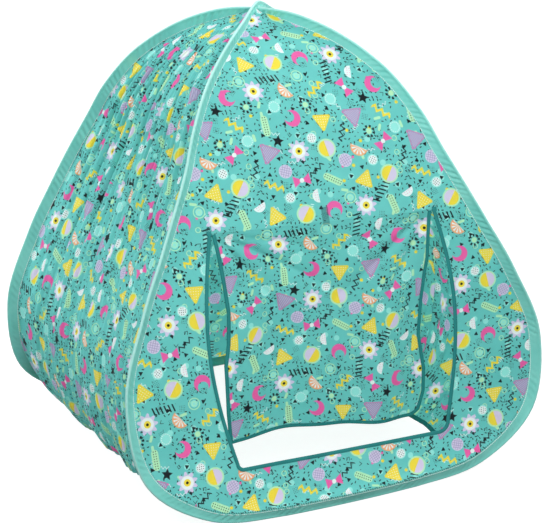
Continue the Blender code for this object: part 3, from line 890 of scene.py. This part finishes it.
foot_station = station_of(foot_share_row)
last_chord = station_of(foot_share_row - foot_blend_share_rows)


def sewn_edge(way):
    """Where cloth starts between the lips: a panel on their front, a gusset on their back."""
    return seam + seam_tuck * (way * edge_across + 2.0 * edge_out)


def panel_rows():
    rows = []
    across = np.linspace(0.0, 1.0, panel_columns + 1)
    sewn = sewn_edge(-1.0)
    along = foot_station + across * (station_count - 1 - 2 * foot_station)
    foot = np.stack([np.interp(along, np.arange(station_count), sewn[:, k]) for k in range(3)], axis=1)
    for station in range(1, foot_station + 1):
        left, right = sewn[station], sewn[-1 - station]
        row = left + across[:, None] * (right - left)
        rise = np.clip(row[:, 2] / tent_height, 0.0, 1.0)
        row[:, 1] -= panel_bulge * 4 * across * (1 - across) * np.sin(math.pi * rise)
        footward = max(0.0, (station - last_chord) / (foot_station - last_chord))
        mixed = row * (1 - footward) + foot * footward
        near_side = np.abs(2 * across - 1)[:, None] ** 12
        ends = np.where(across[:, None] < 0.5, left - mixed[0], right - mixed[-1])
        rows.append(mixed + near_side * ends)
    return np.array(rows)


def waves(seed, flat, amount, length):
    """Gentle waves that cross each other on the cloth."""
    chance = np.random.default_rng(seed)
    total = np.zeros(flat.shape[:-1])
    for _ in range(7):
        way, phase = chance.uniform(0, math.pi), chance.uniform(0, 2 * math.pi)
        stretch = chance.uniform(0.7, 1.6)
        run = flat[..., 0] * math.cos(way) + flat[..., 1] * math.sin(way)
        total += np.sin(2 * math.pi * run / (length * stretch) + phase)
    return amount * total / 3.0


def grid_normals(grid):
    """The normal of a sheet at each of its points."""
    down = np.gradient(grid, axis=0)
    aside = np.gradient(grid, axis=1)
    return unit(np.cross(aside, down) + 1e-12)


straight_panel = panel_rows()
middle_column = straight_panel[:, panel_columns // 2]
middle_down = run_along(middle_column)
panel_flat = np.stack([
    straight_panel[..., 0],
    -np.interp(-straight_panel[..., 2], -middle_column[:, 2], middle_down),
], axis=-1)


def sewn_panel(seed, place):
    """A standing panel, with puckers along its seams and slight waves in its middle."""
    grid = place(straight_panel)
    normals = grid_normals(grid)
    across = np.linspace(0.0, 1.0, panel_columns + 1)
    row_width = np.linalg.norm(grid[:, -1] - grid[:, 0], axis=-1)[:, None]
    from_seam = np.minimum(np.minimum(across, 1 - across) * row_width,
                           (middle_down[-1] - middle_down)[:, None] + 0.0 * across)
    run = edge_runs[1:foot_station + 1][:, None] + 0.5 * from_seam
    pucker = seam_pucker * np.sin(2 * math.pi * run / seam_pucker_length + 2 * np.sin(run * 23 + seed))
    shift = pucker * np.exp(-from_seam / seam_pucker_reach)
    shift *= np.clip(from_seam / pucker_start_reach, 0.0, 1.0)
    wave = waves(seed, panel_flat, panel_wave, panel_wave_length)
    shift += wave * np.clip(from_seam / wave_start_reach, 0.0, 1.0)
    return grid + normals * shift[..., None]


front_grid = sewn_panel(4, settle)


def panel_place(x, z):
    """Where a place of the straight tent, seen from the front, lies on the standing front panel."""
    levels = straight_panel[:, :, 2].mean(axis=1)
    upper = int(np.argmax(levels < z)) - 1
    ends = []
    for straight, stands in zip(straight_panel[upper:upper + 2], front_grid[upper:upper + 2]):
        ends.append(np.array([np.interp(x, straight[:, 0], stands[:, k]) for k in range(3)]))
    down = (levels[upper] - z) / (levels[upper] - levels[upper + 1])
    return ends[0] + down * (ends[1] - ends[0])


def panel_drop(z):
    """How far down the flat cloth a height of the panel is."""
    return -float(np.interp(-z, -middle_column[:, 2], middle_down))


tab_top_height = door_top_height + tab_length - tab_drop
tab_middle = panel_drop(tab_top_height) - tab_length / 2
tab_shadow = (("X", 1000 * tab_aside, 500 * tab_width), ("Y", 1000 * tab_middle, 500 * tab_length))
print_cloth = printed_cloth("printed_cloth")


def door_side(way, sill, radius):
    """One side of the door's cut as (across, up) places, from its top corner round to the sill."""
    drop = door_top_height - sill
    side = []
    for down in np.linspace(0.0, drop - radius, door_side_steps + 1):
        out = door_side_bow * math.sin(math.pi * down / drop) - door_narrowing * down / drop
        side.append((way * (door_half_width + out), door_top_height - down))
    corner_x = abs(side[-1][0]) - radius
    for turn in np.linspace(0.0, math.pi / 2, 9)[1:]:
        side.append((way * (corner_x + radius * math.cos(turn)), sill + radius * (1 - math.sin(turn))))
    return np.array(side)


door_left = door_side(-1.0, door_left_sill, door_left_corner)
door_right = door_side(1.0, door_right_sill, door_right_corner)
sill_shares = np.linspace(0.0, 1.0, door_side_steps + 1)[1:-1, None]
door_sill = door_left[-1] + sill_shares * (door_right[-1] - door_left[-1])
door_places = np.vstack([door_left, door_sill, door_right[::-1]])
door_edge = np.array([panel_place(x, z) for x, z in door_places])

front_panel = cloth_mesh("front_panel_cloth", front_grid, panel_flat, print_cloth)
thicken(front_panel, cloth_thickness)
door_shape = bmesh.new()
rings = [[door_shape.verts.new(p + np.array([0.0, way * door_cut_reach, 0.0])) for p in door_edge]
         for way in (-1.0, 1.0)]
for i in range(len(door_edge)):
    j = (i + 1) % len(door_edge)
    door_shape.faces.new((rings[0][i], rings[0][j], rings[1][j], rings[1][i]))
door_shape.faces.new(rings[0])
door_shape.faces.new(rings[1])
bmesh.ops.recalc_face_normals(door_shape, faces=door_shape.faces)
bmesh.ops.triangulate(door_shape, faces=door_shape.faces)
door_mesh = bpy.data.meshes.new("door_shape")
door_shape.to_mesh(door_mesh)
door_shape.free()
door_cutter = placed("door_shape", door_mesh)
door_cut = front_panel.modifiers.new("door", "BOOLEAN")
door_cut.operation = "DIFFERENCE"
door_cut.object = door_cutter
finished(front_panel)
bpy.data.objects.remove(door_cutter)
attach(front_panel, "front_frame")
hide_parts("front_panel")

back_flat = panel_flat + np.array(back_cut_at)
back_panel = sewn_cloth("back_panel_cloth", sewn_panel(9, at_back), back_flat, print_cloth, cloth_thickness)
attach(back_panel, "back_frame")
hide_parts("back_panel")

# The gussets: slack cloth between the two lobes of the hoop, gathered into long wrinkles that
# run down from the apex. Their hems hang free: the right one's touches the ground in its middle,
# and the left one's hangs just clear of it.
gusset_columns = 240
gusset_sag = 0.012
gusset_fold_depth = 0.006
gusset_fold_count = 4
hem_share_row = 9.5
hem_height = 0.005
right_hem_out = -0.075
left_hem_out = -0.010
wrinkled_width = 0.5
wrinkles = ((9.0, 0.0056), (16.0, 0.0050), (25.0, 0.0036), (38.0, 0.0020))
door_side_rise_rows = 0.7
hem_station = station_of(hem_share_row)
door_side_hem_station = station_of(hem_share_row - door_side_rise_rows)


def sewn_at(sewn, station):
    """The seam between two stations."""
    return np.array([np.interp(station, np.arange(len(sewn)), column) for column in sewn.T])


def gusset_grid(hem_out, place, seed, front_hem, back_hem):
    """A standing gusset and its flat cut, from one lobe's seam to the other's, which it leaves at
    the two stations given."""
    rows, fine = [], []
    chance = np.random.default_rng(seed)
    phases = chance.uniform(0, 2 * math.pi, (len(wrinkles), 3))
    across = np.linspace(0.0, 1.0, gusset_columns + 1)
    window = 4 * across * (1 - across)
    right_seam, left_seam = sewn_edge(1.0)[::-1], sewn_edge(1.0)
    hem_z = left_seam[hem_station, 2]
    for station in range(1, hem_station + 1):
        down = station / hem_station
        front = sewn_at(right_seam, station - (hem_station - front_hem) * down ** 6)
        behind = half_turn(sewn_at(left_seam, station - (hem_station - back_hem) * down ** 6))
        height = (front[2] + behind[2]) / 2
        fall = 1.0 - height / tent_height
        hang = ((tent_height - height) / (tent_height - hem_z)) ** 4 * (1 - (2 * across - 1) ** 8)
        row = front + across[:, None] * (behind - front)
        row[:, 0] -= gusset_sag * window * math.sin(math.pi * fall)
        row[:, 0] += gusset_fold_depth * fall * window * np.sin(2 * math.pi * gusset_fold_count * across)
        row[:, 0] += hem_out * hang
        row[:, 2] -= (hem_z - hem_height) * hang
        rows.append(row)
        crease = np.zeros_like(across)
        for (count, depth), (start, sway, swell) in zip(wrinkles, phases):
            drift = 0.9 * np.sin(2.3 * fall * math.pi + sway) + 0.5 * np.sin(9 * fall + 2 * sway)
            strength = 0.55 + 0.45 * np.sin(5.0 * fall + swell + 4.0 * across)
            ridges = 1.0 - 2.0 * np.abs(np.sin(math.pi * count * across + start + drift))
            crease += depth * strength * ridges
        wide = min(1.0, float(np.linalg.norm(behind - front)) / wrinkled_width) * (1 - 0.7 * down ** 4)
        fine.append(crease * wide * np.clip((12 - 6 * down) * np.minimum(across, 1 - across), 0.0, 1.0))
    grid = place(np.array(rows))
    normals = grid_normals(grid)
    grid = grid + normals * np.array(fine)[..., None]
    lengths = np.linalg.norm(np.diff(grid, axis=1), axis=-1)
    widths = np.concatenate([np.zeros((len(grid), 1)), np.cumsum(lengths, axis=1)], axis=1)
    widths -= widths[:, -1:] / 2
    down = run_along(grid[:, gusset_columns // 2])
    flat = np.stack([widths, -down[:, None] + 0.0 * widths], axis=-1)
    return grid, flat


gusset_hems = {}
for side, hem_out, place, seed, front_hem, back_hem in (
        ("right", right_hem_out, settle, 5, hem_station, hem_station),
        ("left", left_hem_out, at_back, 11, hem_station, door_side_hem_station)):
    grid, flat = gusset_grid(hem_out, place, seed, front_hem, back_hem)
    flat = flat + np.array([2.6 + 0.31 * seed, 0.17 * seed])
    gusset_hems[side] = grid
    gusset = sewn_cloth(side + "_gusset_cloth", grid, flat, print_cloth, cloth_thickness)
    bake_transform(gusset)
    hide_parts(side + "_gusset")

# The hem tapes: a narrow dark tape sewn along the inside of each gusset's free hem.
hem_tape_width = 0.010
tape_thickness = 0.0005
tape_gap = 0.0002
tape_shares = (0.0, 0.33, 0.67, 1.0)
tape_teal = linear(22, 138, 134)
tape_deep = linear(12, 112, 112)
binding_cloth = dyed_cloth("binding_tape", tape_teal, tape_deep, 0.7, 0.0012, 0.05, shine=0.03)

for side, grid in gusset_hems.items():
    normals = grid_normals(grid)[-1]
    if np.dot(normals[gusset_columns // 2], grid[-1, gusset_columns // 2]) > 0:
        normals = -normals
    stand = (cloth_thickness + tape_thickness) / 2 + tape_gap
    rise = unit(grid[-3] - grid[-1])
    low = grid[-1] + stand * normals
    tape_rows = np.array([low + hem_tape_width * share * rise for share in tape_shares])[:, 1:-1]
    run = run_along(tape_rows[0])
    tape_flat = np.array([[(u, hem_tape_width * share) for u in run] for share in tape_shares])
    tape = sewn_cloth(side + "_hem", tape_rows, tape_flat, binding_cloth, tape_thickness)
    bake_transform(tape)
    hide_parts(side + "_hem_tape")

# The door's binding: the same tape folded over the raw edge of the door's sides and sill, its
# ends turned under at the top corners and tacked there, and one line of stitches along it.
binding_width = 0.0072
binding_stand = 0.0010
binding_fold = 0.0006
stitched_share = 0.72
# How far apart the binding's stitches are, then their length and width
binding_stitches = (0.0036, 0.0026, 0.0005)


def inward_of(points, normals, toward):
    """At each point of an edge, the way into the cloth, lengthened where the edge turns."""
    steps = unit(np.diff(points, axis=0))
    sides = unit(np.cross(normals[:-1] + normals[1:], steps))
    if np.dot(sides[len(sides) // 2], toward) < 0:
        sides = -sides
    first, second = np.vstack([sides[:1], sides]), np.vstack([sides, sides[-1:]])
    bisector = unit(first + second)
    return bisector / (bisector * first).sum(1, keepdims=True)


def bind(name, points, inward, normals, width):
    """Tape folded over an edge. Returns it with the two lines that its stitches follow."""
    profile = [(binding_stand * 0.8, width), (binding_stand, 0.6 * width), (binding_stand, 0.15 * width),
               (0.75 * binding_stand, -0.6 * binding_fold), (0.0, -binding_fold),
               (-0.75 * binding_stand, -0.6 * binding_fold), (-binding_stand, 0.15 * width),
               (-binding_stand, 0.6 * width), (-binding_stand * 0.8, width)]
    rows = np.array([[p + a * n + o * i for a, o in profile] for p, i, n in zip(points, inward, normals)])
    around = run_along(np.array(profile))
    along = run_along(points)
    flat = np.array([[(u, v) for v in around] for u in along])
    tape = sewn_cloth(name, rows, flat, binding_cloth, tape_thickness)
    stand = binding_stand + tape_thickness / 2
    lines = [points + side * stand * normals + stitched_share * width * inward for side in (-1.0, 1.0)]
    return tape, lines


door_normals = []
for x, z in door_places:
    aside = panel_place(x + binding_width, z) - panel_place(x - binding_width, z)
    above = panel_place(x, z + binding_width) - panel_place(x, z - binding_width)
    door_normals.append(unit(np.cross(above, aside)))
door_normals = np.array(door_normals)
door_inward = inward_of(door_edge, door_normals, np.array([0.0, 0.0, -1.0]))
door_binding, door_lines = bind("door_edge_tape", door_edge, door_inward, door_normals, binding_width)
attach(door_binding, "front_frame")
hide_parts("door_binding")
door_seam = sew("door_seam", door_lines, dark_stitches, dark_thread, *binding_stitches)
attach(door_seam, "front_frame")

tack_width = 0.010
tack_height = 0.010
tack_aside = 0.0045
tack_rise = -0.0045
tack_stand = 0.0017
tack_puff = 0.0006
tack_steps = 8
tack_thickness = 0.0008


def tape_patch(name, place, width, length, steps, thickness):
    """A short piece of tape. place gives each point from its shares across and down."""
    downs, asides = np.linspace(0.0, 1.0, steps + 1), np.linspace(-0.5, 0.5, 7)
    rows = [[place(aside, down) for aside in asides] for down in downs]
    flat = np.array([[(aside * width, down * length) for aside in asides] for down in downs])
    return sewn_cloth(name, rows, flat, binding_cloth, thickness)


for side, way in (("left", -1.0), ("right", 1.0)):
    def tack_place(aside, down):
        spread = 0.86 + 0.14 * math.sin(math.pi * down)
        x = way * (door_half_width + tack_aside) + aside * tack_width * spread
        z = door_top_height + tack_rise + tack_height * (1 - down)
        puff = tack_stand + tack_puff * math.cos(math.pi * aside) * math.sin(math.pi * down)
        return panel_place(x, z) - np.array([0.0, cloth_thickness / 2 + puff, 0.0])

    tack = tape_patch("tape_end_" + side, tack_place, tack_width, tack_height, tack_steps, tack_thickness)
    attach(tack, "front_frame")
    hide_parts("door_tack_" + side)

# The flap: the cloth cut out of the door, which hangs from the door's top edge, bound on its three
# free sides, creased from its top corners. The closing lobes press it flat on the front panel.
flap_side_gap = 0.006
flap_tip = 0.0045
flap_tip_fall = 0.12
flap_ripple = 0.0022
flap_corner_lift = 0.014
flap_corner_share = 0.14
crease_width = 0.004
crease_spread = 0.032
crease_start = 0.03
flap_length = 0.465
flap_wave_depth = 0.012
flap_fold_depth = 0.004
flap_gather_share = 0.07
flap_fold_count = 3
flap_hem_lift = 0.012
flap_lift_middle_share = -0.25
flap_lift_reach_share = 1.00
flap_columns = 96
flap_rows = 92
flap_left_pull = ((0.0, 0.12, 0.23, 0.38, 0.52, 0.62, 0.85, 1.0),
                  (0.0, 0.001, 0.004, 0.007, 0.0, -0.010, -0.012, -0.009))
flap_right_pull = ((0.0, 0.12, 0.23, 0.31, 0.44, 0.60, 0.78, 0.90, 1.0),
                   (0.0, 0.004, 0.005, 0.0, -0.005, -0.008, 0.005, 0.003, -0.010))
corner_creases = ((-1.0, 14, 0.26, 0.0110), (-1.0, 31, 0.34, 0.0150), (-1.0, 55, 0.38, 0.0115),
                  (1.0, 18, 0.24, 0.0105), (1.0, 40, 0.34, 0.0145), (1.0, 63, 0.36, 0.0105))
flap_half_width = door_half_width - flap_side_gap


def flap_grid_of():
    across = np.linspace(-1.0, 1.0, flap_columns + 1)
    top_line = np.array([panel_place(flap_half_width * s, door_top_height - 0.0001) for s in across])
    middle, plumb = top_line[:, :2].mean(axis=0)
    aside = np.clip((across - flap_lift_middle_share) / flap_lift_reach_share, -1.0, 1.0)
    lifted = np.cos(math.pi / 2 * aside) ** 2
    rows = []
    for fall in np.linspace(0.0, 1.0, flap_rows + 1):
        loose = fall * (2 - fall)
        row = top_line.copy()
        tip = flap_tip * max(0.0, 1.0 - fall / flap_tip_fall)
        row[:, 0] += tip * np.sign(across) * np.abs(across) ** 12
        row[:, 0] -= (row[:, 0] - middle) * flap_gather_share * loose
        left = np.interp(fall, *flap_left_pull) * np.clip(-across, 0.0, 1.0) ** 2
        right = np.interp(fall, *flap_right_pull) * np.clip(across, 0.0, 1.0) ** 2
        row[:, 0] += left + right
        row[:, 1] += (plumb - row[:, 1]) * loose
        row[:, 1] -= flap_wave_depth * loose * np.sin(math.pi * across)
        row[:, 1] += flap_fold_depth * loose * np.sin(math.pi * flap_fold_count * across)
        row[:, 1] += flap_ripple * loose * np.sin(8.3 * across + 5.0 * fall) * np.sin(3.0 * across + 2.0)
        drop = (flap_length - flap_hem_lift * lifted) * fall
        cornerward = np.clip((across - 1.0) / flap_corner_share + 1.0, 0.0, 1.0)
        drop -= flap_corner_lift * fall ** 6 * cornerward ** 2
        row[:, 2] -= drop
        for side, dip, reach, depth in corner_creases:
            over = (1.0 - side * across) * flap_half_width
            down = flap_length * fall
            slope = math.radians(dip)
            along = over * math.cos(slope) + down * math.sin(slope)
            off = -over * math.sin(slope) + down * math.cos(slope)
            sharp = crease_width + crease_spread * along
            fade = np.clip(along / crease_start, 0.0, 1.0) * np.clip(1.0 - along / reach, 0.0, 1.0)
            fade *= np.clip(down / crease_start, 0.0, 1.0)
            row[:, 1] += depth * fade * np.exp(-np.abs(off) / sharp)
        rows.append(row)
    return np.array(rows), across


flap_grid, flap_across = flap_grid_of()
flap_top = panel_drop(door_top_height)
flap_flat = np.array([[(flap_half_width * s, flap_top - flap_length * fall) for s in flap_across]
                      for fall in np.linspace(0.0, 1.0, flap_rows + 1)])
flap = sewn_cloth("flap_cloth", flap_grid, flap_flat, print_cloth, cloth_thickness)
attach(flap, "flap")
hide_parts("door_flap")


def three_sides(grid):
    """The free edge of the flap, from just below one top corner to just below the other."""
    starts = (grid[0] + grid[1]) / 2
    return np.vstack([starts[:1], grid[1:, 0], grid[-1, 1:-1], grid[:0:-1, -1], starts[-1:]])


flap_edge = three_sides(flap_grid)
flap_normals = three_sides(grid_normals(flap_grid))
flap_inward = inward_of(flap_edge, flap_normals, np.array([0.0, 0.0, 1.0]))
flap_binding, flap_lines = bind("flap_edge_tape", flap_edge, flap_inward, flap_normals, binding_width)
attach(flap_binding, "flap")
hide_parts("flap_binding")
flap_seam = sew("flap_seam", flap_lines, dark_stitches, dark_thread, *binding_stitches)
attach(flap_seam, "flap")
for pressed in (flap, flap_binding, flap_seam):
    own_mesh(pressed)

# The tab: a short double strip of tape, sewn inside over the middle of the door, that is buttoned
# round the flap when it is rolled up. A box of stitches holds it, and shows on the outside.
tab_thickness = 0.0014
tab_gap = 0.0005
tab_stand = cloth_thickness / 2 + tab_gap + tab_thickness / 2
tab_curl = 0.0006
tab_steps = 12
box_inset, box_depth = 0.002, 0.010
box_steps = 7
box_stand = 0.0002
box_stitches = (0.0026, 0.0021, 0.0006)


def tab_place(aside, down):
    stand = tab_stand + tab_curl * math.sin(2.2 * math.pi * down)
    top = panel_place(tab_aside + aside * tab_width, tab_top_height)
    return top + np.array([0.0, stand, -down * tab_length])


tab = tape_patch("roll_tab", tab_place, tab_width, tab_length, tab_steps, tab_thickness)
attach(tab, "tie_tab")
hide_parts("flap_tab")

box_left, box_right = tab_aside - 0.4 * tab_width, tab_aside + 0.4 * tab_width
box_top = tab_top_height - box_inset
box_low = box_top - box_depth
box = ((box_left, box_top), (box_right, box_top), (box_right, box_low), (box_left, box_low),
       (box_left, box_top))
box_line = []
for (x0, z0), (x1, z1) in zip(box, box[1:]):
    for share in np.linspace(0.0, 1.0, box_steps + 1)[:-1]:
        stand = np.array([0.0, cloth_thickness / 2 + box_stand, 0.0])
        box_line.append(panel_place(x0 + share * (x1 - x0), z0 + share * (z1 - z0)) - stand)
box_line.append(box_line[0])
tab_seam = sew("tab_seam", [np.array(box_line)], dark_stitches, dark_thread, *box_stitches)
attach(tab_seam, "front_frame")
